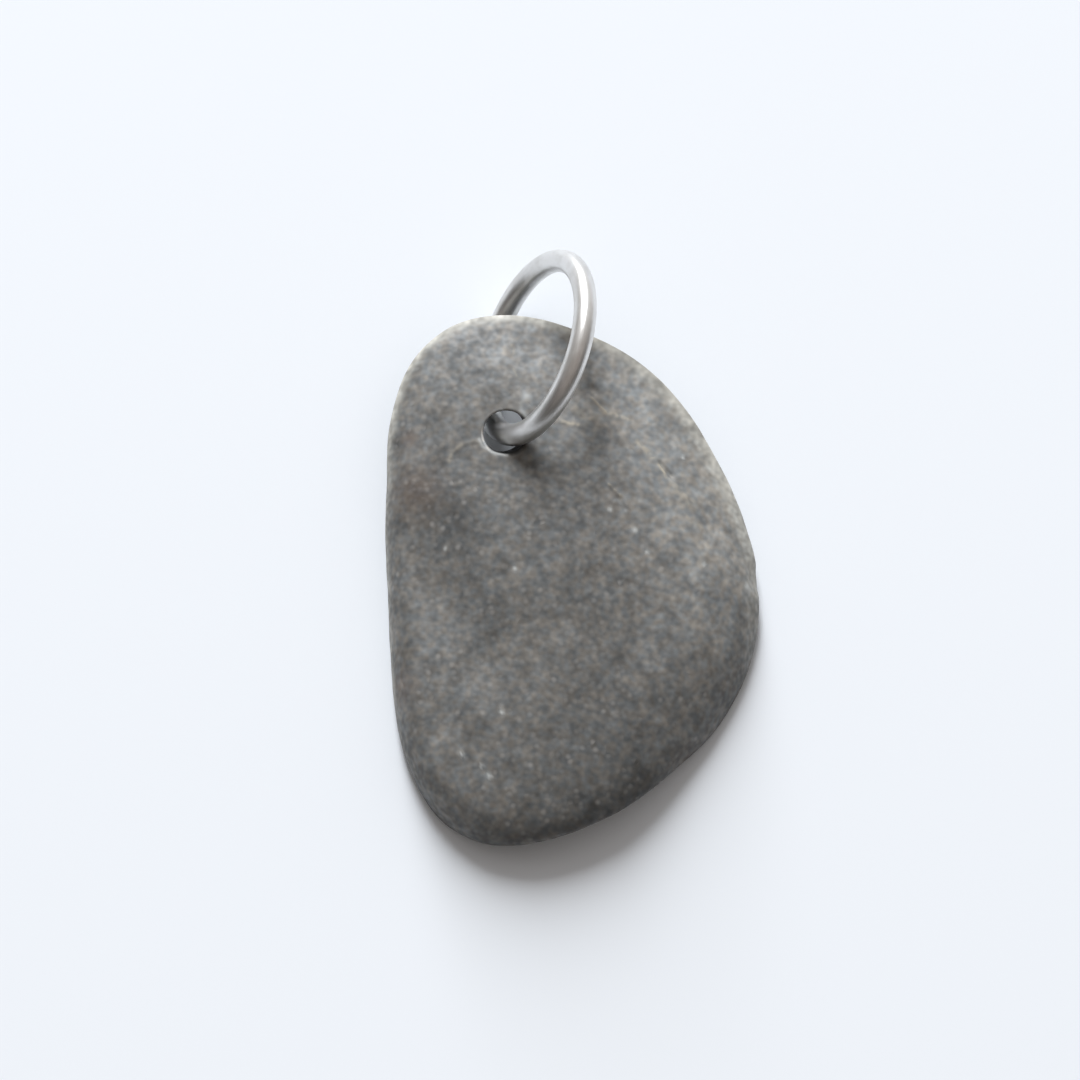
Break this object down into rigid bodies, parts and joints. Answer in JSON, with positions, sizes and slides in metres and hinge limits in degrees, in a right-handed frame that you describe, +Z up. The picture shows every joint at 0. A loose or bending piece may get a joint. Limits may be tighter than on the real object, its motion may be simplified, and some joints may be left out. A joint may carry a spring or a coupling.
{
  "type": "drilled river pebble with jump ring",
  "caption": "Flat dark grey river pebble, drilled near its narrow end, with a round steel jump ring threaded through the hole.",
  "frame": {"origin": "on the table plane, below the middle of the whole part as it lies", "axes": "+Y towards the drilled end and the ring, +Z up out of the stone's upper face"},
  "size_m": [0.0206, 0.0326, 0.0098],
  "materials": {
    "stone": "matt, fine-grained, water-worn dark grey stone with pale grains",
    "ring_wire": "smooth bright steel wire"
  },
  "bodies": {
    "stone": {"pebble": "stone"},
    "ring": {"jump_ring": "ring_wire"}
  },
  "joints": [
    {"name": "ring_turn", "type": "hinge", "parent": "stone", "child": "ring", "pos_m": [-0.002, 0.01071, 0.00494], "axis": [0.8396, -0.1627, -0.5183], "continuous": true}
  ]
}
